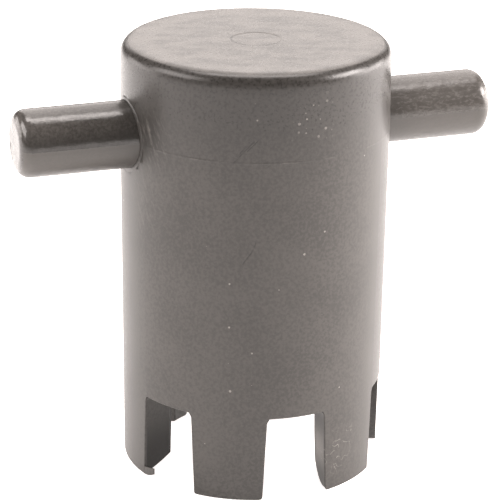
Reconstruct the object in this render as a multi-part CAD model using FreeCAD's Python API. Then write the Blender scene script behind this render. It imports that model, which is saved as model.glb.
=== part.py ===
import FreeCAD, Part
import math
import os

# T-bar key for heating fittings: a castellated cup with a round bar through its head.
#
# Frame: millimetres, +Z up. The origin is the centre of the tooth-end plane, on the cup's
# axis, so the key stands on its teeth. The bar runs along X.
#
# Two pieces: the moulded cup (socket_body) and the bar pressed through it (cross_bar).

Vector = FreeCAD.Vector
UP = Vector(0, 0, 1)

# Cup: widest at the mould's parting line, with a slight draft above and below it.
BODY_HEIGHT = 83.0
PARTING_RADIUS = 25.4
TOP_RADIUS = 25.24
BOTTOM_RADIUS = 25.05
TOP_EDGE_ROUND = 2.4
BOTTOM_EDGE_ROUND = 0.5
FLASH_HEIGHT = 0.12       # thin ridge left round the cup where the mould parts
FLASH_WIDTH = 0.5

# Inside the cup: a straight socket, then a narrower chamber that the bar crosses.
BORE_RADIUS = 17.8
LEAD_IN_RADIUS = 3.2      # rounded entry on the inner edge of the teeth
SHOULDER_Z = 57.0         # where the fitting stops, below the bar
CHAMBER_RADIUS = 16.4
ROOF_THICKNESS = 7.0
ROOF_CORNER_ROUND = 2.0

# Teeth: six, with a notch between each two. The notches open slightly to the mouth.
NOTCH_COUNT = 6
FIRST_NOTCH_ANGLE = 30.0  # degrees from +X, so that a tooth is under each end of the bar
NOTCH_HEIGHT = 16.7
NOTCH_ROOT_WIDTH = 11.3
NOTCH_MOUTH_WIDTH = 12.6
NOTCH_CORNER_ROUND = 1.0
NOTCH_RIM_ROUND = 0.4

# Bar: half-inch stock, centred in the head at the height of the parting line.
BAR_DIAMETER = 12.7
BAR_LENGTH = 93.0
BAR_Z = 66.9
BAR_END_ROUND = 2.5

# Lip raised on the cup round each mouth of the bar's hole.
LIP_WIDTH = 0.6
LIP_HEIGHT = 0.3

# Round mark left by the mould's gate, in the middle of the top.
GATE_RADIUS = 4.6
GATE_DEPTH = 0.1

BAR_RADIUS = BAR_DIAMETER / 2
CUT_MARGIN = 1.0          # how far a cutting solid stands out of what it cuts


def polyline(*points):
    """Straight edges from each point to the next."""
    return [Part.makeLine(a, b) for a, b in zip(points, points[1:])]


def rounded_corner(start, centre, end):
    """Circular edge from start to end about centre, by the short way."""
    middle = (start - centre) + (end - centre)
    through = centre + middle.normalize() * (start - centre).Length
    return Part.Arc(start, through, end).toShape()


def revolved(edges):
    """Solid of revolution about Z from a closed outline in the XZ plane."""
    outline = Part.Wire(Part.__sortEdges__(edges))
    return Part.Face(outline).revolve(Vector(0, 0, 0), UP, 360)


def at(radius, z):
    """Point of a revolved outline."""
    return Vector(radius, 0, z)


def outer_form():
    """The cup's outside as a full solid, with its rounded edges and parting flash."""
    crest = PARTING_RADIUS + FLASH_HEIGHT
    half_flash = FLASH_WIDTH / 2
    bottom_start = at(BOTTOM_RADIUS - BOTTOM_EDGE_ROUND, 0)
    bottom_end = at(BOTTOM_RADIUS, BOTTOM_EDGE_ROUND)
    bottom_centre = at(BOTTOM_RADIUS - BOTTOM_EDGE_ROUND, BOTTOM_EDGE_ROUND)
    top_start = at(TOP_RADIUS, BODY_HEIGHT - TOP_EDGE_ROUND)
    top_end = at(TOP_RADIUS - TOP_EDGE_ROUND, BODY_HEIGHT)
    top_centre = at(TOP_RADIUS - TOP_EDGE_ROUND, BODY_HEIGHT - TOP_EDGE_ROUND)
    side = polyline(
        bottom_end,
        at(PARTING_RADIUS, BAR_Z - half_flash),
        at(crest, BAR_Z),
        at(PARTING_RADIUS, BAR_Z + half_flash),
        top_start,
    )
    closing = polyline(top_end, at(0, BODY_HEIGHT), at(0, 0), bottom_start)
    bottom_round = rounded_corner(bottom_start, bottom_centre, bottom_end)
    top_round = rounded_corner(top_start, top_centre, top_end)
    return revolved([bottom_round, top_round] + side + closing)


def cavity_form():
    """Everything inside the cup: lead-in, socket, shoulder and the chamber round the bar."""
    roof_z = BODY_HEIGHT - ROOF_THICKNESS
    mouth = BORE_RADIUS + LEAD_IN_RADIUS
    lead_start = at(mouth, 0)
    lead_end = at(BORE_RADIUS, LEAD_IN_RADIUS)
    corner_start = at(CHAMBER_RADIUS, roof_z - ROOF_CORNER_ROUND)
    corner_end = at(CHAMBER_RADIUS - ROOF_CORNER_ROUND, roof_z)
    corner_centre = at(CHAMBER_RADIUS - ROOF_CORNER_ROUND, roof_z - ROOF_CORNER_ROUND)
    lead_in = rounded_corner(lead_start, at(mouth, LEAD_IN_RADIUS), lead_end)
    roof_corner = rounded_corner(corner_start, corner_centre, corner_end)
    wall = polyline(
        lead_end,
        at(BORE_RADIUS, SHOULDER_Z),
        at(CHAMBER_RADIUS, SHOULDER_Z),
        corner_start,
    )
    closing = polyline(
        corner_end, at(0, roof_z), at(0, -CUT_MARGIN), at(mouth, -CUT_MARGIN), lead_start
    )
    return revolved([lead_in, roof_corner] + wall + closing)


def bar_cylinder(radius, length):
    """Round bar along X, centred on the cup's axis at the bar's height."""
    return Part.makeCylinder(radius, length, Vector(-length / 2, 0, BAR_Z), Vector(1, 0, 0))


def hole_lips():
    """The two lips round the mouths of the bar's hole, following the cup's curve."""
    depth = PARTING_RADIUS + LIP_HEIGHT
    collar = bar_cylinder(BAR_RADIUS + LIP_WIDTH, 2 * depth)
    curved_limit = Part.makeCylinder(depth, BODY_HEIGHT)
    return collar.common(curved_limit)


def notch_cutter():
    """Cutter along X that makes two opposite notches, with rounded root corners."""
    reach = PARTING_RADIUS + CUT_MARGIN
    slope = (NOTCH_MOUTH_WIDTH - NOTCH_ROOT_WIDTH) / 2 / NOTCH_HEIGHT
    half_root = NOTCH_ROOT_WIDTH / 2
    half_below = half_root + slope * (NOTCH_HEIGHT + CUT_MARGIN)
    outline = Part.makePolygon(
        [
            Vector(-reach, -half_below, -CUT_MARGIN),
            Vector(-reach, -half_root, NOTCH_HEIGHT),
            Vector(-reach, half_root, NOTCH_HEIGHT),
            Vector(-reach, half_below, -CUT_MARGIN),
            Vector(-reach, -half_below, -CUT_MARGIN),
        ]
    )
    block = Part.Face(outline).extrude(Vector(2 * reach, 0, 0))
    root_corners = [
        edge
        for edge in block.Edges
        if edge.Length > 2 * PARTING_RADIUS and edge.BoundBox.ZMin > NOTCH_HEIGHT / 2
    ]
    return block.makeFillet(NOTCH_CORNER_ROUND, root_corners)


def notch_rim_edges(body, cutters):
    """Edges where a notch's walls or root meet the rest of the cup."""
    notch_faces = [
        face
        for face in body.Faces
        if face.BoundBox.ZMax < NOTCH_HEIGHT + 0.01
        and any(cutter.isInside(middle_of(face), 0.01, True) for cutter in cutters)
    ]
    shared = {}
    for face in notch_faces:
        for edge in face.Edges:
            shared.setdefault(edge.hashCode(), []).append(edge)
    return [edges[0] for edges in shared.values() if len(edges) == 1]


def middle_of(face):
    """A point on a face, near the middle of its parameter range."""
    u_low, u_high, v_low, v_high = face.ParameterRange
    return face.valueAt((u_low + u_high) / 2, (v_low + v_high) / 2)


def socket_body():
    """The moulded cup with six teeth, its cross hole and its gate mark."""
    body = outer_form().fuse(hole_lips())
    body = body.cut(cavity_form())
    body = body.cut(bar_cylinder(BAR_RADIUS, 2 * BAR_LENGTH))
    gate = Part.makeCylinder(GATE_RADIUS, CUT_MARGIN, Vector(0, 0, BODY_HEIGHT - GATE_DEPTH))
    body = body.cut(gate)
    cutters = []
    for index in range(NOTCH_COUNT // 2):
        cutter = notch_cutter()
        cutter.rotate(Vector(0, 0, 0), UP, FIRST_NOTCH_ANGLE + index * 360 / NOTCH_COUNT)
        cutters.append(cutter)
        body = body.cut(cutter)
    rims = notch_rim_edges(body, cutters)
    return body.makeFillet(NOTCH_RIM_ROUND, rims)


def cross_bar():
    """The straight round bar, with rounded ends."""
    bar = bar_cylinder(BAR_RADIUS, BAR_LENGTH)
    end_edges = [edge for edge in bar.Edges if isinstance(edge.Curve, Part.Circle)]
    return bar.makeFillet(BAR_END_ROUND, end_edges)


def main():
    os.makedirs("parts", exist_ok=True)
    for name, make in (("socket_body", socket_body), ("cross_bar", cross_bar)):
        shape = make()
        if not shape.isValid() or len(shape.Solids) != 1:
            raise RuntimeError(f"{name} isn't one valid solid")
        shape.Solids[0].exportStep(f"parts/{name}.step")
        print(name, round(shape.Volume), "mm3", shape.BoundBox)


main()
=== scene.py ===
import math

import bmesh
import bpy
from mathutils import Matrix, Vector, noise

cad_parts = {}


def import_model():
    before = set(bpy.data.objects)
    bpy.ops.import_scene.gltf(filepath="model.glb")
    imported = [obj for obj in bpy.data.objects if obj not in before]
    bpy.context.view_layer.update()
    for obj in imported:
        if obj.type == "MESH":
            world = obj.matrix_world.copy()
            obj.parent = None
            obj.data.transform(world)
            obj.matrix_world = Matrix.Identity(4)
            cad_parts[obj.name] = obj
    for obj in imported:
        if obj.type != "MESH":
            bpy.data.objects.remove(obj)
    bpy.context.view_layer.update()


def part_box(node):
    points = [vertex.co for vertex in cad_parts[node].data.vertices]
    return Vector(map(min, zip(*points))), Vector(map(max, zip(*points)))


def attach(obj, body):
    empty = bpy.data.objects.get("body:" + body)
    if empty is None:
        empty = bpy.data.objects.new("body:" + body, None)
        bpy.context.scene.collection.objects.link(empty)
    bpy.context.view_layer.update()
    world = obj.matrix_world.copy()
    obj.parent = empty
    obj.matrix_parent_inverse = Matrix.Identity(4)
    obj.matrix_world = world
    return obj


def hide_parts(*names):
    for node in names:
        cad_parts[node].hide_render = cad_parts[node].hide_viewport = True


# Looks of the castellated T-bar key. Lengths in this script are millimetres until mesh_object
# scales them to metres. The shapes follow the CAD nodes: the cup stands on its teeth at the
# origin, +Z up, with the bar along X.

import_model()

MM = 0.001
BODY_SLOT = "body_plastic"
BAR_SLOT = "bar_plastic"
BODY_BOX = [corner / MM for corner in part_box("socket_body")]
BAR_BOX = [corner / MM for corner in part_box("cross_bar")]

# Bar
BAR_HALF_LENGTH = BAR_BOX[1].x
BAR_RADIUS = (BAR_BOX[1].z - BAR_BOX[0].z) / 2
BAR_Z = (BAR_BOX[1].z + BAR_BOX[0].z) / 2
BAR_END_ROUND = 2.5

# Cup
HEIGHT = BODY_BOX[1].z
FLASH_HEIGHT = 0.12
FLASH_HALF_WIDTH = 0.16
FLASH_SHARES = (0.04, 0.5)  # the least and most of its height that is left along the line
TOP_DRAFT = 0.16
BOTTOM_DRAFT = 0.35
PARTING_RADIUS = BODY_BOX[1].y - FLASH_HEIGHT
TOP_RADIUS = PARTING_RADIUS - TOP_DRAFT
BOTTOM_RADIUS = PARTING_RADIUS - BOTTOM_DRAFT
TOP_EDGE_ROUND = 2.4
BORE_RADIUS = 17.8
LEAD_IN = 3.2
SHOULDER_Z = 57.0
CHAMBER_RADIUS = 16.4
ROOF_THICKNESS = 7.0
ROOF_Z = HEIGHT - ROOF_THICKNESS
ROOF_CORNER = 2.0
GATE_RADIUS = 4.6
GATE_DEPTH = 0.1
GATE_FLOOR = HEIGHT - GATE_DEPTH * 0.8
TOP_FAN_RADIUS = 24.0  # the columns run straight from here to the middle of the top

# Teeth and notches
NOTCHES = 6
FIRST_NOTCH = math.radians(30)
PITCH = 2 * math.pi / NOTCHES
NOTCH_HEIGHT = 16.7
ROOT_HALF_WIDTH = 5.65
MOUTH_HALF_WIDTH = 6.3
ROOT_CORNER = 1.0
LAND_RADII = (24.4, 23.9)  # rings on the flat end of each tooth
ENTRY_STEPS = 6

# How each tooth's inner edge is rounded at its end, by the tooth's direction in degrees: its
# width, its height, and its shape from 1, a straight slope, to 2, a rounded nose.
NEW_ENTRY = (LEAD_IN, LEAD_IN, 2.0)
WORN_ENTRIES = {180: (5.7, 2.0, 1.15), 300: (5.6, 5.2, 1.6), 120: (0.9, 0.6, 2.0)}

NARROWEST_ENTRY = 0.9
SHARP_BELOW = 1.0  # an inner edge whose entry is narrower than this is sharp

# Widths of the rounded rims: the notches outside and inside, and the teeth at their ends.
OUTER_RIM = 0.25
INNER_RIM = 0.35
LAND_RIM = 1.3
ENTRY_RIM = 0.2
SHARP_ENTRY_RIM = 0.4 * ENTRY_RIM
WIDEST_RIM = 2.0

# Two teeth are worn away at the bore, each beside one notch: depth by the tooth's columns from
# that notch on, with the notch's sector.
WORN_PLACES = [("notch", ROOT_HALF_WIDTH), ("tooth", -0.79), ("tooth", -0.6), ("tooth", -0.4)]
WORN_DEPTHS = {4: (2.2, 1.0, 0.3, 0.0), 1: (3.2, 2.1, 1.1, 0.3)}
WORN_COLUMNS = {
    (sector, *place): depth
    for sector, depths in WORN_DEPTHS.items()
    for place, depth in zip(WORN_PLACES, depths)
}

# A flag of flash left on the corner of the tooth under the bar's -X end: its span in degrees
# and its bottom and top at both ends.
FLAG_SPAN = (194.6, 202.2)
FLAG_BOTTOM = (0.1, 1.1)
FLAG_TOP = (1.6, 2.3)
FLAG_THICKNESS = 0.35
FLAG_INSET = 0.03
FLAG_TAPER = 0.4
FLAG_STEPS = 8

# Mark of the bar's gate on its -X end.
BAR_GATE_Y = 1.9
BAR_GATE_Z = BAR_Z - 1.9
BAR_GATE_RADIUS = 1.8
BAR_GATE_DEPTH = 0.12
BAR_GATE_EDGE = 0.25

# The bar's surface outside the cup: its parting ridge, with the spread in degrees, and ripples.
BAR_HIDDEN_TO = 26.5
BAR_RIDGE = 0.02
BAR_RIDGE_SPREAD = 1.2
BAR_RIPPLE = 0.012
BAR_FACE_MIDDLE = 0.25  # the innermost ring on the bar's flat ends

# The camera: its azimuth is turned from the -Y side, and it looks at a point on the cup's axis.
CAMERA_AZIMUTH = -20.2
CAMERA_ELEVATION = 20.588
CAMERA_ROLL = 0.795
CAMERA_DISTANCE = 0.41864
CAMERA_TARGET = Vector((0, 0, 0.04101))
CAMERA_LENS = 156.51
CAMERA_SENSOR = 36
CAMERA_SHIFT = (-0.00637, 0.00037)
CAMERA_CLIP = (0.01, 20)
FRONT = math.radians(CAMERA_AZIMUTH - 90)


def share(value, low, high):
    """value as a share of the way from low to high, kept from 0 to 1."""
    return min(1.0, max(0.0, (value - low) / (high - low)))


def mesh_object(name, vertices, faces, smooth_angle=40):
    """A mesh object in metres, with outward normals and smooth shading up to smooth_angle."""
    mesh = bpy.data.meshes.new(name)
    mesh.from_pydata([tuple(c * MM for c in v) for v in vertices], [], faces)
    work = bmesh.new()
    work.from_mesh(mesh)
    bmesh.ops.recalc_face_normals(work, faces=work.faces)
    work.to_mesh(mesh)
    work.free()
    mesh.shade_smooth()
    mesh.set_sharp_from_angle(angle=math.radians(smooth_angle))
    made = bpy.data.objects.new(name, mesh)
    bpy.context.scene.collection.objects.link(made)
    return made


def apply_modifiers(piece):
    """Replaces the piece's mesh with what its modifiers make of it."""
    graph = bpy.context.evaluated_depsgraph_get()
    final = bpy.data.meshes.new_from_object(piece.evaluated_get(graph))
    piece.modifiers.clear()
    piece.data = final


# ---------------------------------------------------------------- cup


class Lattice:
    """Vertices kept by key, so that neighbouring surfaces share them."""

    def __init__(self):
        self.vertices = []
        self.faces = []
        self.index = {}
        self.widths = {}

    def vertex(self, key, place):
        if key not in self.index:
            self.index[key] = len(self.vertices)
            self.vertices.append(place)
        return self.index[key]

    def face(self, *corners):
        distinct = list(dict.fromkeys(corners))
        if len(distinct) > 2:
            self.faces.append(distinct)

    def round_edge(self, a, b, width):
        if a != b:
            self.widths[tuple(sorted((a, b)))] = width


def corner_arc(step):
    """Sideways and upward distance of a notch's root corner from its wall and root."""
    turn = math.radians(22.5 * step)
    return ROOT_CORNER * (1 - math.cos(turn)), ROOT_CORNER * (1 - math.sin(turn))


def outer_radius(z):
    """Radius of the cup's outside, drafted both ways from the parting line."""
    if z < BAR_Z:
        return BOTTOM_RADIUS + (PARTING_RADIUS - BOTTOM_RADIUS) * share(z, 0, BAR_Z)
    return PARTING_RADIUS + (TOP_RADIUS - PARTING_RADIUS) * share(z, BAR_Z, HEIGHT)


def flash(angle, z):
    """Height of the parting flash, uneven along its length."""
    across = max(0.0, 1 - abs(z - BAR_Z) / FLASH_HALF_WIDTH)
    along = 0.15 + 0.4 * noise.noise(Vector((5 * math.cos(angle), 5 * math.sin(angle), 3)))
    least, most = FLASH_SHARES
    return FLASH_HEIGHT * across * min(most, max(least, along))


def steps(start, end, count):
    """count + 1 evenly spaced values."""
    return [start + (end - start) * i / count for i in range(count + 1)]


def arc(centre, radius, start, end, count):
    """(radius, z) points on a circular arc, by angles in degrees."""
    return [
        (
            centre[0] + radius * math.cos(math.radians(a)),
            centre[1] + radius * math.sin(math.radians(a)),
        )
        for a in steps(start, end, count)
    ]


def columns():
    """The cup's columns in order round it: (sector, kind, place).

    The place is a sideways distance in a notch, and a share of the half width on a tooth.
    """
    half = [ROOT_HALF_WIDTH, ROOT_HALF_WIDTH - corner_arc(3)[1], ROOT_HALF_WIDTH - ROOT_CORNER]
    half += [3.6, 2.4, 1.2]
    notch = [-t for t in half] + [0.0] + half[::-1]
    tooth = [-0.79, -0.6, -0.4, -0.2, 0, 0.2, 0.4, 0.6, 0.79]
    order = []
    for sector in range(NOTCHES):
        order += [(sector, "notch", t) for t in notch]
        order += [(sector, "tooth", t) for t in tooth]
    return order


def tooth_of(column):
    """Direction in degrees of the tooth that a wall or tooth column belongs to."""
    sector, kind, place = column
    after = sector if kind == "notch" and place < 0 else sector + 1
    return round(math.degrees(after * PITCH)) % 360


def entry_point(column, step, count):
    """(radius, z) on a tooth's rounded inner edge, step 0 at its end and count at the bore."""
    width, height, shape = WORN_ENTRIES.get(tooth_of(column), NEW_ENTRY)
    worn = WORN_COLUMNS.get(column, 0.0)
    inward = math.sin(math.pi / 2 * step / count)
    rise = height * (1 - (1 - inward**shape) ** (1 / shape))
    return BORE_RADIUS + worn + max(width - worn, NARROWEST_ENTRY) * (1 - inward), rise


def sharp_entry(column):
    """Whether a column's tooth has a sharp inner edge."""
    return WORN_ENTRIES.get(tooth_of(column), NEW_ENTRY)[0] < SHARP_BELOW


def entry_rim(column):
    """Width of the rounded rim along a tooth's inner edge."""
    return SHARP_ENTRY_RIM if sharp_entry(column) else ENTRY_RIM


def notch_half_width(z):
    """Half the width of a notch, which opens slightly to its mouth."""
    rise = share(NOTCH_HEIGHT - z, 0, NOTCH_HEIGHT)
    return ROOT_HALF_WIDTH + (MOUTH_HALF_WIDTH - ROOT_HALF_WIDTH) * rise


def column_angle(column, radius, z, shift=0.0):
    """Direction of a column at a radius and height. shift narrows the notch at its corners."""
    sector, kind, place = column
    notch_centre = FIRST_NOTCH + sector * PITCH
    half_width = notch_half_width(z)
    if kind == "notch":
        is_wall = abs(place) == ROOT_HALF_WIDTH
        sideways = math.copysign(half_width - shift, place) if is_wall else place
        return notch_centre + math.asin(sideways / radius)
    half_tooth = PITCH / 2 - math.asin(half_width / radius)
    return notch_centre + PITCH / 2 + place * half_tooth


def cup_mesh():
    """The cup as one closed lattice of quads, before its edges are rounded and its hole cut."""
    grid = Lattice()
    order = columns()
    count = len(order)

    # Outside, from the tooth ends up over the top edge to the middle of the top.
    low_rows = [0, 1.5, 3, 5, 7.5, 10, 12.5, 14.6]
    arc_rows = [NOTCH_HEIGHT - corner_arc(step)[1] for step in (0, 1)]
    root_row = len(low_rows) + len(arc_rows)
    side = low_rows + arc_rows + [NOTCH_HEIGHT, 17.9, 19.2] + steps(21, BAR_Z - 1.9, 23)
    side += [BAR_Z + d for d in (-0.9, -0.4, -0.16, -0.06, 0.06, 0.16, 0.4, 0.9)]
    side += steps(BAR_Z + 2, HEIGHT - TOP_EDGE_ROUND - 0.2, 8)
    outside = [(outer_radius(z), z) for z in side]
    edge_centre = (TOP_RADIUS - TOP_EDGE_ROUND, HEIGHT - TOP_EDGE_ROUND)
    outside += arc(edge_centre, TOP_EDGE_ROUND, 0, 90, 9)
    rings = [22.3] + steps(21.6, 8, 14) + [7.2, 6.75, 6.6, 6.45, 5.6, 4.85]
    outside += [(r, HEIGHT) for r in rings]
    outside += [(GATE_RADIUS + 0.12, HEIGHT - 0.015), (GATE_RADIUS - 0.03, HEIGHT - GATE_DEPTH)]
    outside += [(r, GATE_FLOOR) for r in (4.3, 3.4, 2.4, 1.3)]
    outside += [(0.0, GATE_FLOOR)]

    # Inside, up to the middle of the roof. Below the notches the teeth set the heights.
    inner_side = low_rows + arc_rows + [NOTCH_HEIGHT]
    inner_side += [17.9, 19.5] + steps(22, SHOULDER_Z - 0.8, 14)
    inside = [(BORE_RADIUS, z) for z in inner_side]
    inside += [(BORE_RADIUS, SHOULDER_Z), (CHAMBER_RADIUS, SHOULDER_Z)]
    inside += [(CHAMBER_RADIUS, z) for z in steps(SHOULDER_Z + 0.8, ROOF_Z - ROOF_CORNER, 9)]
    roof_centre = (CHAMBER_RADIUS - ROOF_CORNER, ROOF_Z - ROOF_CORNER)
    inside += arc(roof_centre, ROOF_CORNER, 0, 90, 6)[1:]
    inside += [(r, ROOF_Z) for r in (14.6, 12, 9, 6, 3, 0.0)]

    # Tooth ends, from the outer edge over the flat land and round the inner edge.
    land = [(radius, 0.0) for radius in (BOTTOM_RADIUS, *LAND_RADII)]
    last = len(land) + ENTRY_STEPS

    def end_point(j, m):
        """(radius, z) of column j on a tooth's end, m steps in from the outside."""
        if m < len(land):
            return land[m]
        return entry_point(order[j % count], m - len(land), ENTRY_STEPS)

    def stretched(j, k, m):
        """Height of row k, m steps in, between the tooth's end and the notch's root."""
        top = side[root_row - 2]
        end_z = end_point(j, m)[1]
        return end_z + (top - end_z) * side[k] / top

    def place(j, radius, z, clamp, shift=0.0):
        """A point of column j. Inside the clamp radius, the column runs straight to the axis."""
        angle = column_angle(order[j % count], max(radius, clamp), z, shift)
        swell = flash(angle, z) if clamp > BORE_RADIUS else 0.0
        return ((radius + swell) * math.cos(angle), (radius + swell) * math.sin(angle), z)

    def corner(j, k):
        """(shift sideways, drop in z) of the notch outline at row k of column j."""
        _, kind, t = order[j % count]
        if kind != "notch":
            return 0.0, 0.0
        if abs(t) == ROOT_HALF_WIDTH:
            if k == root_row - 1:
                return corner_arc(1)[0], 0.0
            if k == root_row:
                return corner_arc(2)
        elif k == root_row and abs(t) > ROOT_HALF_WIDTH - ROOT_CORNER:
            return 0.0, corner_arc(1)[0]
        return 0.0, 0.0

    def skin(side_name, j, k):
        """Vertex on the outer or inner skin: row k of column j."""
        is_outer = side_name == "outer"
        profile, clamp = (outside, TOP_FAN_RADIUS) if is_outer else (inside, BORE_RADIUS)
        radius, z = profile[k]
        if radius == 0.0:
            return grid.vertex((side_name, "centre"), (0.0, 0.0, z))
        if not is_outer and k <= root_row:
            radius += WORN_COLUMNS.get(order[j % count], 0.0)
        if not is_outer and k <= root_row - 2:
            z = stretched(j, k, last)
        shift, drop = corner(j, k)
        return grid.vertex((side_name, j % count, k), place(j, radius, z - drop, clamp, shift))

    def across(j, k, m):
        """Vertex on a notch's wall or root: row k, m steps in from the outside."""
        if m == 0:
            return skin("outer", j, k)
        if m == last:
            return skin("inner", j, k)
        radius = end_point(j, m)[0]
        z = stretched(j, k, m) if k <= root_row - 2 else side[k]
        shift, drop = corner(j, k)
        return grid.vertex(("cut", j % count, k, m), place(j, radius, z - drop, 0, shift))

    def is_tooth_pair(j):
        kinds = order[j % count][1], order[(j + 1) % count][1]
        return "tooth" in kinds

    def is_wall(j):
        _, kind, t = order[j % count]
        return kind == "notch" and abs(t) == ROOT_HALF_WIDTH

    for j in range(count):
        first = 0 if is_tooth_pair(j) else root_row
        for side_name, profile in (("outer", outside), ("inner", inside)):
            for k in range(first, len(profile) - 1):
                grid.face(
                    skin(side_name, j, k),
                    skin(side_name, j + 1, k),
                    skin(side_name, j + 1, k + 1),
                    skin(side_name, j, k + 1),
                )
        for m in range(last):
            row = 0 if is_tooth_pair(j) else root_row
            grid.face(
                across(j, row, m), across(j + 1, row, m),
                across(j + 1, row, m + 1), across(j, row, m + 1),
            )
        if is_wall(j):
            for k in range(root_row):
                for m in range(last):
                    grid.face(
                        across(j, k, m), across(j, k + 1, m),
                        across(j, k + 1, m + 1), across(j, k, m + 1),
                    )
                inner_rim = entry_rim(order[j]) if k == 0 or sharp_entry(order[j]) else INNER_RIM
                grid.round_edge(skin("outer", j, k), skin("outer", j, k + 1), OUTER_RIM)
                grid.round_edge(skin("inner", j, k), skin("inner", j, k + 1), inner_rim)
            for m in range(last):
                width = LAND_RIM if m < len(land) else entry_rim(order[j])
                grid.round_edge(across(j, 0, m), across(j, 0, m + 1), width)
        row = 0 if is_tooth_pair(j) else root_row
        grid.round_edge(skin("outer", j, row), skin("outer", j + 1, row), OUTER_RIM)
        if not is_tooth_pair(j):
            grid.round_edge(skin("inner", j, row), skin("inner", j + 1, row), INNER_RIM)
    return grid


def rounded_cup():
    """The cup's mesh with rounded rims and the bar's hole cut through it."""
    grid = cup_mesh()
    cup = mesh_object("socket_moulding", grid.vertices, grid.faces)
    weights = cup.data.attributes.new("bevel_weight_edge", "FLOAT", "EDGE")
    for edge in cup.data.edges:
        key = tuple(sorted(edge.vertices))
        weights.data[edge.index].value = grid.widths.get(key, 0.0) / WIDEST_RIM
    bevel = cup.modifiers.new("rims", "BEVEL")
    bevel.limit_method = "WEIGHT"
    bevel.width = WIDEST_RIM * MM
    bevel.segments = 3
    bevel.use_clamp_overlap = False
    apply_modifiers(cup)
    hole = bore_cutter()
    cut = cup.modifiers.new("cross_hole", "BOOLEAN")
    cut.operation = "DIFFERENCE"
    cut.solver = "EXACT"
    cut.object = hole
    apply_modifiers(cup)
    bpy.data.objects.remove(hole)
    return cup


def bore_cutter():
    """A round cutter along X, the size of the bar."""
    sides = 96
    length = PARTING_RADIUS + 4
    vertices = []
    for x in (-length, length):
        for i in range(sides):
            turn = 2 * math.pi * i / sides
            vertices.append((x, BAR_RADIUS * math.cos(turn), BAR_Z + BAR_RADIUS * math.sin(turn)))
    faces = [list(range(sides)), list(range(sides, 2 * sides))]
    for i in range(sides):
        after = (i + 1) % sides
        faces.append([i, after, sides + after, sides + i])
    return mesh_object("cutter", vertices, faces)


# ---------------------------------------------------------------- bar


def bar_mesh():
    """The round bar with rounded ends, a parting flash on both sides and a gate mark."""
    turns = bar_turns()
    ends = BAR_HALF_LENGTH - BAR_END_ROUND
    flat = BAR_RADIUS - BAR_END_ROUND
    half = [(x, BAR_RADIUS) for x in steps(0, 16, 4) + steps(17, 24, 7) + steps(24.5, ends, 42)]
    half += arc((ends, flat), BAR_END_ROUND, 90, 0, 8)[1:]
    half += [(BAR_HALF_LENGTH, r) for r in steps(flat, BAR_FACE_MIDDLE, 14)[1:]]
    rows = [(-x, r) for x, r in half[::-1]] + half[1:]
    vertices, faces = [], []
    for x, radius in rows:
        for turn in turns:
            vertices.append(bar_point(x, radius, turn))
    left_middle = len(vertices)
    vertices.append(bar_point(-BAR_HALF_LENGTH, 0, 0))
    vertices.append((BAR_HALF_LENGTH, 0, BAR_Z))
    count = len(turns)
    for i in range(len(rows) - 1):
        for j in range(count):
            a, b = i * count + j, i * count + (j + 1) % count
            faces.append([a, b, b + count, a + count])
    last_row = (len(rows) - 1) * count
    for j in range(count):
        after = (j + 1) % count
        faces.append([left_middle, j, after])
        faces.append([left_middle + 1, last_row + j, last_row + after])
    return mesh_object("t_bar", vertices, faces)


def bar_turns():
    """Directions round the bar, close together at the parting lines."""
    coarse = steps(0, 180, 44)[1:-1]
    fine = [0.9, 1.8]
    half = sorted(coarse + fine + [180 - f for f in fine])
    return [math.radians(t) for t in [0] + half + [180] + [180 + h for h in half]]


def bar_point(x, radius, turn):
    """A point of the bar; turn 0 is +Y, and the flash runs along turns 0 and 180 degrees."""
    visible = share(abs(x), BAR_HIDDEN_TO, BAR_HIDDEN_TO + 1)
    from_line = abs(math.degrees(math.asin(math.sin(turn))))
    ridge = BAR_RIDGE * max(0.0, 1 - from_line / BAR_RIDGE_SPREAD) * visible
    ripple = BAR_RIPPLE * noise.noise(Vector((x * 0.45, 7 * math.cos(turn), 7 * math.sin(turn))))
    out = min(1.0, radius / BAR_RADIUS)
    r = radius + (ridge + visible * ripple - BAR_RIPPLE * visible) * out
    y, z = r * math.cos(turn), BAR_Z + min(BAR_RADIUS, r * math.sin(turn))
    from_gate = math.hypot(y - BAR_GATE_Y, z - BAR_GATE_Z)
    recess = BAR_GATE_DEPTH * share(from_gate, BAR_GATE_RADIUS, BAR_GATE_RADIUS - BAR_GATE_EDGE)
    return (max(x, recess - BAR_HALF_LENGTH), y, z)


def lip_mesh(name, side):
    """The low lip round one mouth of the bar's hole, following the cup's curve and lower below."""
    section = [
        (6.30, -0.7), (6.36, 0.08), (6.46, 0.14), (6.6, 0.15), (6.75, 0.12),
        (6.95, 0.06), (7.1, 0.0), (7.15, -0.3), (6.8, -0.7),
    ]
    sides = 120
    vertices, faces = [], []
    for i in range(sides):
        turn = 2 * math.pi * i / sides
        wobble = 0.02 * noise.noise(Vector((3 * math.cos(turn), 3 * math.sin(turn), side)))
        height = 0.3 + 0.7 * share(math.sin(turn), -0.3, 0.5)
        for radius, crest in section:
            rise = crest * height if crest > 0 else crest
            y = radius * math.cos(turn)
            z = BAR_Z + radius * math.sin(turn)
            x = math.sqrt(outer_radius(z) ** 2 - y**2) + rise + (wobble if rise > 0 else 0)
            vertices.append((side * x, y, z))
    width = len(section)
    for i in range(sides):
        for k in range(width):
            a, b = i * width, ((i + 1) % sides) * width
            after = (k + 1) % width
            faces.append([a + k, b + k, b + after, a + after])
    return mesh_object(name, vertices, faces, smooth_angle=70)


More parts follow.
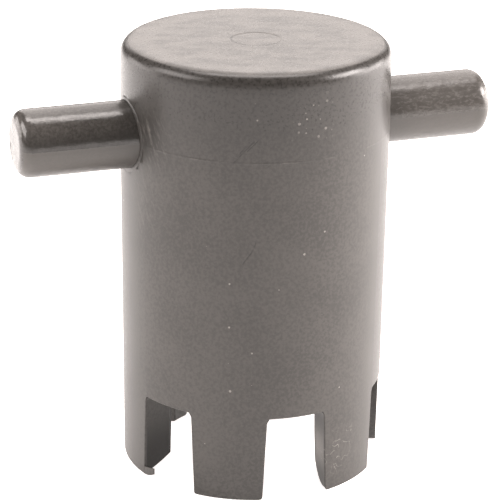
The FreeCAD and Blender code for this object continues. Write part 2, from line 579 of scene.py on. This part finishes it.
def flash_flag():
    """The thin flag of flash that runs on from a tooth's corner along the cup's curve."""
    vertices, faces = [], []
    for i in range(FLAG_STEPS + 1):
        along = i / FLAG_STEPS
        angle = math.radians(FLAG_SPAN[0] + (FLAG_SPAN[1] - FLAG_SPAN[0]) * along)
        bottom = FLAG_BOTTOM[0] + (FLAG_BOTTOM[1] - FLAG_BOTTOM[0]) * along**2
        top = FLAG_TOP[0] + (FLAG_TOP[1] - FLAG_TOP[0]) * along
        outer = outer_radius(0) - FLAG_INSET
        inner = outer - FLAG_THICKNESS * (1 - FLAG_TAPER * along)
        for radius, z in ((outer, bottom), (outer, top), (inner, top), (inner, bottom)):
            vertices.append((radius * math.cos(angle), radius * math.sin(angle), z))
    for i in range(FLAG_STEPS):
        for k in range(4):
            a, b = 4 * i + k, 4 * i + (k + 1) % 4
            faces.append([a, b, b + 4, a + 4])
    faces += [[0, 1, 2, 3], [4 * FLAG_STEPS + k for k in range(4)]]
    return mesh_object("flash_flag", vertices, faces)


# ---------------------------------------------------------------- materials

# Linear greys of the plastic: the darkest and lightest of each mottled surface, then the marks.
# The greys noted below as painted stand in for light and shade.
WALL_GREYS = (0.038, 0.06)
# painted shade: the head's darker greys stand in for the shade below the top edge
SHADED_HEAD_GREYS = (0.024, 0.046)
TOP_GREYS = (0.052, 0.095)
SATIN_GREYS = (0.046, 0.076)
GLOSS_GREYS = (0.05, 0.08)
WORN_GREYS = (0.06, 0.09)
# painted shade: the dark lower part of the left notch's inner flank
LEFT_FLANK_SHADE_GREY = 0.015
# the gouges' own dark grey, also used for the painted shade at the gate and the bar's painted
# shadow
GOUGE_AND_SHADE_GREY = 0.025
# painted reflection: the pale band in the middle of the right notch's flank
FLANK_REFLECTION_GREY = 0.22
# painted highlight: the glint along the parting flash
SEAM_GLINT_GREY = 0.3
SCRATCH_GREY = 0.38
# painted reflection: the dark band on the bar's glossy side just above the parting line
DARK_REFLECTION_GREY = 0.02
SHADED_GREY = 0.03
PLAIN_WARMTH = 0.08
SATIN_WARMTH = 0.1

# Dark gouges on the unrolled wall: the (around, z) points of each, and its width.
GOUGES = [
    ([(0.3, 71.4), (-1.4, 69.6), (-3.4, 67.2)], 0.2),
    ([(1.0, 71.6), (-0.9, 69.6)], 0.14),
    ([(-1.0, 70.6), (-2.2, 69.2)], 0.14),
    ([(0.8, 52.2), (0.0, 50.3), (-1.5, 48.1)], 0.18),
]

# Specks on the unrolled wall: their spacing, largest size and the share of them that shows.
WALL_SPECKS = (4.5, 0.24, 0.12)
CROWDED_SPECKS = (1.3, 0.3, 0.4)

# Places of other marks on the unrolled wall: the middle and the reach, each (around, z).
CURLS_PLACE = ((18.5, 8.0), (6.0, 6.0))
CROWDED_SPECKS_PLACE = ((11.0, 75.0), (6.0, 6.0))
# rubbed streaks beside the bar's root, with the bar's painted shadow on them
SCUFFS_AND_SHADOW_BESIDE_BAR = ((-21.0, 68.5), (6.5, 9.0))
SCUFFS_BELOW_BAR = ((-23.5, 56.0), (7.0, 9.0))
# painted reflection: where the pale band on the right notch's flank sits
FLANK_REFLECTION_PLACE = ((16.2, 8.5), (2.2, 6.0))

class Look:
    """A material's node tree, with short ways to add and join nodes. Lengths are millimetres."""

    def __init__(self, name):
        self.material = bpy.data.materials.new(name)
        self.material.use_nodes = True
        self.nodes = self.material.node_tree.nodes
        self.links = self.material.node_tree.links
        self.surface = self.nodes["Principled BSDF"]
        place = self.add("ShaderNodeTexCoord").outputs["Object"]
        self.place = self.vector("SCALE", place, scale=1 / MM)
        self.x, self.y, self.z = self.add("ShaderNodeSeparateXYZ", {0: self.place}).outputs
        self.radius = self.length(self.combine(self.x, self.y, 0.0))
        turned = self.math("SUBTRACT", self.math("ARCTAN2", self.y, self.x), FRONT)
        self.around = self.math("MULTIPLY", turned, PARTING_RADIUS)
        self.unrolled = self.combine(self.around, self.z, 0.0)

    def add(self, kind, inputs=None, **properties):
        """A new node, with its properties set and its inputs fed."""
        made = self.nodes.new(kind)
        for key, value in properties.items():
            setattr(made, key, value)
        for key, value in (inputs or {}).items():
            self.feed(made.inputs[key], value)
        return made

    def feed(self, socket, value):
        """Links a socket to another node's output, or sets it to a plain value."""
        if isinstance(value, bpy.types.NodeSocket):
            self.links.new(value, socket)
        else:
            socket.default_value = value

    def math(self, operation, first, second=0.0, third=0.0, clamp=False):
        inputs = {0: first, 1: second, 2: third}
        return self.add("ShaderNodeMath", inputs, operation=operation, use_clamp=clamp).outputs[0]

    def times(self, *factors):
        product = factors[0]
        for factor in factors[1:]:
            product = self.math("MULTIPLY", product, factor)
        return product

    def vector(self, operation, first, second=(0, 0, 0), scale=1.0):
        inputs = {0: first, 1: second, 3: scale}
        return self.add("ShaderNodeVectorMath", inputs, operation=operation).outputs[0]

    def length(self, value):
        return self.add("ShaderNodeVectorMath", {0: value}, operation="LENGTH").outputs["Value"]

    def dot(self, first, second):
        inputs = {0: first, 1: second}
        made = self.add("ShaderNodeVectorMath", inputs, operation="DOT_PRODUCT")
        return made.outputs["Value"]

    def combine(self, x, y, z):
        return self.add("ShaderNodeCombineXYZ", {0: x, 1: y, 2: z}).outputs[0]

    def noise(self, scale, detail=2.0, place=None, roughness=0.5):
        inputs = {"Vector": place or self.place, "Scale": scale, "Detail": detail}
        inputs["Roughness"] = roughness
        return self.add("ShaderNodeTexNoise", inputs).outputs["Fac"]

    def ramp(self, value, low, high, to_low=0.0, to_high=1.0):
        """Goes smoothly from to_low to to_high as value goes from low to high."""
        inputs = {0: value, 1: low, 2: high, 3: to_low, 4: to_high}
        return self.add("ShaderNodeMapRange", inputs, interpolation_type="SMOOTHSTEP").outputs[0]

    def blend(self, mask, first, second):
        """The first colour where the mask is 0, and the second where it is 1."""
        made = self.add("ShaderNodeMix", data_type="RGBA")
        self.feed(made.inputs[0], mask)
        self.feed(made.inputs[6], first)
        self.feed(made.inputs[7], second)
        return made.outputs[2]

    def mottled(self, mask, greys, warmth=PLAIN_WARMTH):
        """A colour between two greys."""
        return self.blend(mask, grey(greys[0], warmth), grey(greys[1], warmth))

    def bump(self, height, distance):
        """Normals of a relief whose height of 0 to 1 spans a distance."""
        inputs = {"Height": height, "Distance": distance * MM}
        return self.add("ShaderNodeBump", inputs).outputs[0]

    def near(self, value, middle, width):
        """1 where value is at middle, fading to 0 at width from it."""
        away = self.math("ABSOLUTE", self.math("SUBTRACT", value, middle))
        return self.ramp(away, width, 0.0)

    def patch(self, middle, reach):
        """1 at a place (around, z) on the unrolled wall, fading out at reach (around, z)."""
        across = self.near(self.around, middle[0], reach[0])
        return self.times(across, self.near(self.z, middle[1], reach[1]))

    def strokes(self, points, width):
        """1 inside a scratch that runs through points (around, z) on the unrolled wall."""
        drift = self.noise(0.6, 2.0, self.unrolled)
        drift = self.vector("SCALE", self.combine(drift, drift, 0.0), scale=0.7)
        wavy = self.vector("ADD", self.unrolled, drift)
        marks = 0.0
        for start, end in zip(points, points[1:]):
            start, run = Vector((*start, 0)), Vector((*end, 0)) - Vector((*start, 0))
            from_start = self.vector("SUBTRACT", wavy, start)
            along = self.dot(from_start, run / run.length_squared)
            along = self.math("ADD", along, 0.0, clamp=True)
            nearest = self.vector("SCALE", run, scale=along)
            away = self.length(self.vector("SUBTRACT", from_start, nearest))
            marks = self.math("MAXIMUM", marks, self.ramp(away, width, width * 0.3))
        return marks

    def specks(self, spacing, size, share_kept):
        """1 inside small scattered specks on the unrolled wall."""
        inputs = {"Vector": self.unrolled, "Scale": 1 / spacing}
        cells = self.add("ShaderNodeTexVoronoi", inputs, voronoi_dimensions="2D")
        random = self.add("ShaderNodeSeparateColor", {0: cells.outputs["Color"]}).outputs
        limit = self.math("MULTIPLY", random[1], size / spacing)
        inside = self.math("LESS_THAN", cells.outputs["Distance"], limit)
        return self.times(inside, self.math("LESS_THAN", random[0], share_kept))


def grey(level, warmth=PLAIN_WARMTH):
    """A warm grey as a linear colour."""
    return (level * (1 + warmth), level, level * (1 - warmth), 1)


def top_marks_and_shade(look, on_top):
    """Tool marks on the flat top: its relief, how pale it is, and the painted shade line along the
    near-left edge of the gate's recess.
    """
    rings = look.noise(1.0, 2.0, look.combine(look.times(look.radius, 2.2), 0.0, 0.0))
    sideways = look.math("ADD", look.x, look.times(look.y, 0.6))
    slanted = look.combine(sideways, look.times(look.y, 1.8), 0.0)
    streaks = look.noise(0.16, 4.0, slanted, 0.6)
    outer_ring = look.times(look.near(look.radius, 6.6, 0.35), look.ramp(streaks, 0.4, 0.6))
    relief = look.math("ADD", look.times(rings, 0.3), streaks)
    relief = look.math("SUBTRACT", relief, look.times(outer_ring, 0.6))
    rim_band = look.near(look.radius, 20.5, 2.8)
    pale = look.math("ADD", look.ramp(streaks, 0.35, 0.65), look.times(rim_band, 0.5))
    # Painted shade: a dark line on the near-left half of the gate's rim only, where the recess's
    # step falls in shade.
    near_left = look.ramp(look.math("ADD", look.y, look.x), 0.5, -2.0)
    gate_shade_line = look.times(look.near(look.radius, GATE_RADIUS + 0.05, 0.45), near_left)
    return [look.times(mark, on_top) for mark in (relief, pale, gate_shade_line)]


def wall_scratches(look):
    """Dark gouges and light hairlines on the side that faces the camera."""
    gouges = [look.strokes(points, width) for points, width in GOUGES]
    dark = gouges[0]
    for gouge in gouges[1:]:
        dark = look.math("MAXIMUM", dark, gouge)
    dark = look.times(dark, look.ramp(look.noise(0.9, 3.0), 0.35, 0.6, 0.25, 1.0))
    curls = look.near(look.noise(0.34, 1.5, look.unrolled), 0.5, 0.011)
    broken = look.ramp(look.noise(0.8, 2.0), 0.42, 0.5)
    curls = look.times(curls, broken, look.patch(*CURLS_PLACE))
    light = look.math("MAXIMUM", curls, look.times(look.specks(*WALL_SPECKS), 0.6))
    crowded = look.times(look.specks(*CROWDED_SPECKS), look.patch(*CROWDED_SPECKS_PLACE), 0.9)
    return dark, look.math("MAXIMUM", light, crowded)


def root_scuffs_and_shadow(look):
    """Rubbed streaks beside the bar's root on the left, with the bar's painted shadow: their
    relief, the dark painted shadow broken into streaks, and the light streaks.
    """
    sideways = look.math("ADD", look.around, look.times(look.z, 0.5))
    slanted = look.combine(sideways, look.times(look.z, 0.25), 0.0)
    streaks = look.noise(1.1, 4.0, slanted, 0.7)
    beside = look.patch(*SCUFFS_AND_SHADOW_BESIDE_BAR)
    below = look.patch(*SCUFFS_BELOW_BAR)
    # Painted shadow of the bar on the wall beside its root, broken into streaks.
    dark = look.times(look.ramp(streaks, 0.62, 0.42), beside)
    both = look.math("ADD", beside, look.times(below, 0.6))
    light = look.times(look.ramp(streaks, 0.5, 0.7), both)
    return look.times(streaks, beside), dark, light


def body_plastic():
    """Satin moulded plastic: fine mottling, a shinier head, tool marks and handling scratches,
    with painted shade on the head, at the gate, beside the bar and in the left notch, a painted
    glint along the seam and a painted reflection on the right notch's flank.
    """
    look = Look(BODY_SLOT)
    grain = look.noise(1.7, 3.0, roughness=0.6)
    haze = look.noise(0.09, 2.0)
    on_top = look.ramp(look.z, HEIGHT - 0.4, HEIGHT - 0.15)
    head = look.ramp(look.z, 58.0, 78.0)
    relief, pale, gate_shade_line = top_marks_and_shade(look, on_top)
    dark, light = wall_scratches(look)
    scuff, bar_shadow_streaks, scuff_light = root_scuffs_and_shadow(look)
    # Painted highlight: broken light glints along the parting line.
    seam_glint = look.times(look.near(look.z, BAR_Z, 0.2), look.ramp(look.noise(0.25, 2.0), 0.5, 0.75))
    inside = look.ramp(look.radius, 24.9, 24.3)
    # Painted reflection: the floor's reflection, painted as a pale band in the middle of the right
    # notch's inner flank.
    flank_reflection = look.times(inside, look.patch(*FLANK_REFLECTION_PLACE))
    # Painted shade: the left notch's inner flank grows darker towards the tooth ends. The same
    # patch is also rougher.
    far_left = look.ramp(look.around, -14.0, -17.0)
    left_flank_shade = look.times(inside, look.ramp(look.z, 15.0, 4.0), far_left)

    tone = look.math("ADD", look.ramp(grain, 0.3, 0.7, -0.4, 0.4), haze)
    colour = look.mottled(look.ramp(tone, 0.0, 1.0), WALL_GREYS)
    # Painted shade: the head grows darker towards the top edge, standing in for the dark
    # reflection below the rim.
    shaded_head_colour = look.mottled(look.ramp(grain, 0.25, 0.75), SHADED_HEAD_GREYS)
    colour = look.blend(look.times(head, 0.9), colour, shaded_head_colour)
    colour = look.blend(on_top, colour, look.mottled(pale, TOP_GREYS))
    # Painted shadow of the bar beside its root, in dark streaks.
    colour = look.blend(look.times(bar_shadow_streaks, 0.8), colour, grey(GOUGE_AND_SHADE_GREY))
    colour = look.blend(look.times(left_flank_shade, 0.85), colour, grey(LEFT_FLANK_SHADE_GREY))
    colour = look.blend(look.times(flank_reflection, 0.8), colour, grey(FLANK_REFLECTION_GREY))
    colour = look.blend(look.math("MAXIMUM", dark, gate_shade_line), colour, grey(GOUGE_AND_SHADE_GREY))
    light = look.math("MAXIMUM", light, look.times(scuff_light, 0.22))
    colour = look.blend(look.times(light, 0.75), colour, grey(SCRATCH_GREY))
    colour = look.blend(look.times(seam_glint, 0.4), colour, grey(SEAM_GLINT_GREY))
    look.feed(look.surface.inputs["Base Color"], colour)

    rough = look.ramp(grain, 0.3, 0.7, 0.38, 0.48)
    rough = look.math("SUBTRACT", rough, look.times(head, 0.13))
    rough = look.math("ADD", rough, look.times(look.math("ADD", scuff, left_flank_shade), 0.25))
    look.feed(look.surface.inputs["Roughness"], rough)
    look.surface.inputs["Specular IOR Level"].default_value = 0.36
    fine = look.times(grain, look.ramp(on_top, 0.0, 1.0, 0.25, 0.08))
    height = look.math("ADD", fine, look.times(relief, 0.8))
    height = look.math("ADD", height, scuff)
    height = look.math("SUBTRACT", height, look.times(dark, 0.6))
    look.feed(look.surface.inputs["Normal"], look.bump(height, 0.03))
    return look.material


def bar_plastic():
    """The bar's plastic: glossy and rippled above the parting line, satin below it, with a painted
    dark reflection band just above the parting line and painted shade underneath and near the cup.
    """
    look = Look(BAR_SLOT)
    grain = look.noise(1.9, 3.0, roughness=0.65)
    ripple = look.noise(0.5, 3.0)
    lengthwise = look.combine(look.times(look.x, 0.5), look.y, look.z)
    wear = look.noise(1.8, 3.0, lengthwise, 0.65)
    above = look.ramp(look.z, BAR_Z - 0.15, BAR_Z + 0.15)
    along = look.math("ABSOLUTE", look.x)
    end_face = look.ramp(along, BAR_HALF_LENGTH - 0.6, BAR_HALF_LENGTH - 0.1)
    upper = look.math("MAXIMUM", above, end_face)
    worn = look.times(look.ramp(look.x, 20.0, 30.0), upper)
    root = look.ramp(along, 33.0, 26.0)
    # Painted reflection: a dark band just above the parting line, standing in for the glossy bar's
    # reflection of the dark surroundings.
    dark_reflection = look.ramp(look.z, BAR_Z + 4.0, BAR_Z + 0.5)
    under = look.ramp(look.z, BAR_Z - 3.0, BAR_Z - 5.6)

    # Painted shade on the bar's underside, broken up by the wear noise.
    shaded_under = look.times(under, look.ramp(wear, 0.4, 0.6))
    satin_colour = look.mottled(grain, SATIN_GREYS, SATIN_WARMTH)
    satin_colour = look.blend(shaded_under, satin_colour, grey(SHADED_GREY))
    gloss_colour = look.mottled(look.ramp(grain, 0.3, 0.7), GLOSS_GREYS)
    gloss_colour = look.blend(look.times(dark_reflection, 0.6), gloss_colour, grey(DARK_REFLECTION_GREY))
    worn_colour = look.mottled(look.ramp(wear, 0.3, 0.7), WORN_GREYS)
    gloss_colour = look.blend(worn, gloss_colour, worn_colour)
    colour = look.blend(upper, satin_colour, gloss_colour)
    colour = look.blend(look.times(root, 0.35), colour, grey(SHADED_GREY))
    look.feed(look.surface.inputs["Base Color"], colour)

    satin = look.ramp(grain, 0.3, 0.7, 0.36, 0.46)
    gloss = look.ramp(wear, 0.3, 0.7, 0.14, 0.25)
    gloss = look.math("ADD", gloss, look.times(worn, 0.06))
    look.feed(look.surface.inputs["Roughness"], look.blend(upper, satin, gloss))
    texture = look.math("ADD", look.times(wear, 0.26), look.times(worn, wear, 0.16))
    texture = look.times(texture, look.ramp(upper, 0.0, 1.0, 0.3, 1.0))
    height = look.math("ADD", look.times(ripple, 0.8), texture)
    height = look.math("ADD", height, look.times(grain, 0.1))
    look.feed(look.surface.inputs["Normal"], look.bump(height, 0.08))
    return look.material


# ---------------------------------------------------------------- stage, light and camera


# Softboxes: azimuth from the camera round to its right, elevation, size across and up in
# metres, and watts. All face the cup from the same distance.
SOFTBOX_DISTANCE = 0.9
SOFTBOX_TARGET = Vector((0, 0, 0.05))
SOFTBOXES = {
    "overhead": (180, 82, 0.8, 0.28, 7.5),
    "overhead_back": (180, 55, 0.8, 0.45, 3.4),
    "back": (180, 25, 0.9, 0.5, 3.4),
    "high_left": (-76, 33, 0.65, 0.38, 6.6),
    "high_right": (90, 29, 0.45, 0.34, 12.8),
    "low_left": (-110, 8, 0.7, 0.3, 3.2),
    "low_right": (110, 8, 0.7, 0.3, 6.8),
}
LIGHT_COLOUR = (1.0, 0.93, 0.9)
FLOOR_REACH = 3.0
FLOOR_BASE = (0.85, 0.85, 0.85, 1)
FLOOR_COLOUR = (1.0, 0.95, 0.93)
FLOOR_GLOW = 1.03
ROOM_LIGHT = 0.02


def from_camera(azimuth, elevation):
    """Direction at an azimuth from the camera's own, towards its right, and an elevation."""
    turn, rise = math.radians(CAMERA_AZIMUTH + azimuth), math.radians(elevation)
    return Vector(
        (math.sin(turn) * math.cos(rise), -math.cos(turn) * math.cos(rise), math.sin(rise))
    )


def softbox(name, azimuth, elevation, across, up, watts):
    """One rectangular light, facing the middle of the key."""
    data = bpy.data.lights.new(name, "AREA")
    data.shape = "RECTANGLE"
    data.size, data.size_y = across, up
    data.energy = watts
    data.color = LIGHT_COLOUR
    made = bpy.data.objects.new(name, data)
    direction = from_camera(azimuth, elevation)
    made.location = SOFTBOX_TARGET + direction * SOFTBOX_DISTANCE
    made.rotation_mode = "QUATERNION"
    made.rotation_quaternion = (-direction).to_track_quat("-Z", "Y")
    bpy.context.scene.collection.objects.link(made)


def floor():
    """A wide white floor that glows a little, so that it stays pale under the key."""
    reach = FLOOR_REACH
    mesh = bpy.data.meshes.new("floor")
    corners = [(-reach, -reach, 0), (reach, -reach, 0), (reach, reach, 0), (-reach, reach, 0)]
    mesh.from_pydata(corners, [], [[0, 1, 2, 3]])
    made = bpy.data.objects.new("floor", mesh)
    bpy.context.scene.collection.objects.link(made)
    look = Look("floor_white")
    look.surface.inputs["Base Color"].default_value = FLOOR_BASE
    look.surface.inputs["Roughness"].default_value = 0.9
    look.surface.inputs["Emission Color"].default_value = (*FLOOR_COLOUR, 1)
    look.surface.inputs["Emission Strength"].default_value = FLOOR_GLOW
    made.data.materials.append(look.material)


def camera():
    """The camera, rolled and shifted slightly as well as aimed."""
    back = from_camera(0, CAMERA_ELEVATION)
    data = bpy.data.cameras.new("camera")
    data.lens = CAMERA_LENS
    data.sensor_width = CAMERA_SENSOR
    data.shift_x, data.shift_y = CAMERA_SHIFT
    data.clip_start, data.clip_end = CAMERA_CLIP
    made = bpy.data.objects.new("camera", data)
    made.location = CAMERA_TARGET + back * CAMERA_DISTANCE
    made.rotation_mode = "QUATERNION"
    level = (-back).to_track_quat("-Z", "Y").to_matrix()
    roll = Matrix.Rotation(math.radians(CAMERA_ROLL), 3, "Z")
    made.rotation_quaternion = (level @ roll).to_quaternion()
    bpy.context.scene.collection.objects.link(made)
    bpy.context.scene.camera = made


def world():
    """Hardly any light from the room: the softboxes and the floor do nearly all of it."""
    made = bpy.data.worlds.new("studio")
    made.use_nodes = True
    background = made.node_tree.nodes["Background"]
    background.inputs["Color"].default_value = (1, 1, 1, 1)
    background.inputs["Strength"].default_value = ROOM_LIGHT
    bpy.context.scene.world = made


def finish(piece, material, node):
    """Gives a piece its material and slot, hangs it under the root body, and hides the CAD node
    that it stands for.
    """
    piece.data.materials.clear()
    piece.data.materials.append(material)
    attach(piece, "root")
    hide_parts(node)


def main():
    """Builds the five pieces and the studio round them."""
    body_look, bar_look = body_plastic(), bar_plastic()
    cup = rounded_cup()
    bar = bar_mesh()
    moulded_on = [lip_mesh("hole_lip_left", -1), lip_mesh("hole_lip_right", 1), flash_flag()]
    for piece in [cup] + moulded_on:
        finish(piece, body_look, "socket_body")
    finish(bar, bar_look, "cross_bar")
    floor()
    world()
    for name, values in SOFTBOXES.items():
        softbox(name, *values)
    camera()
    bpy.context.scene.view_settings.view_transform = "Standard"


main()
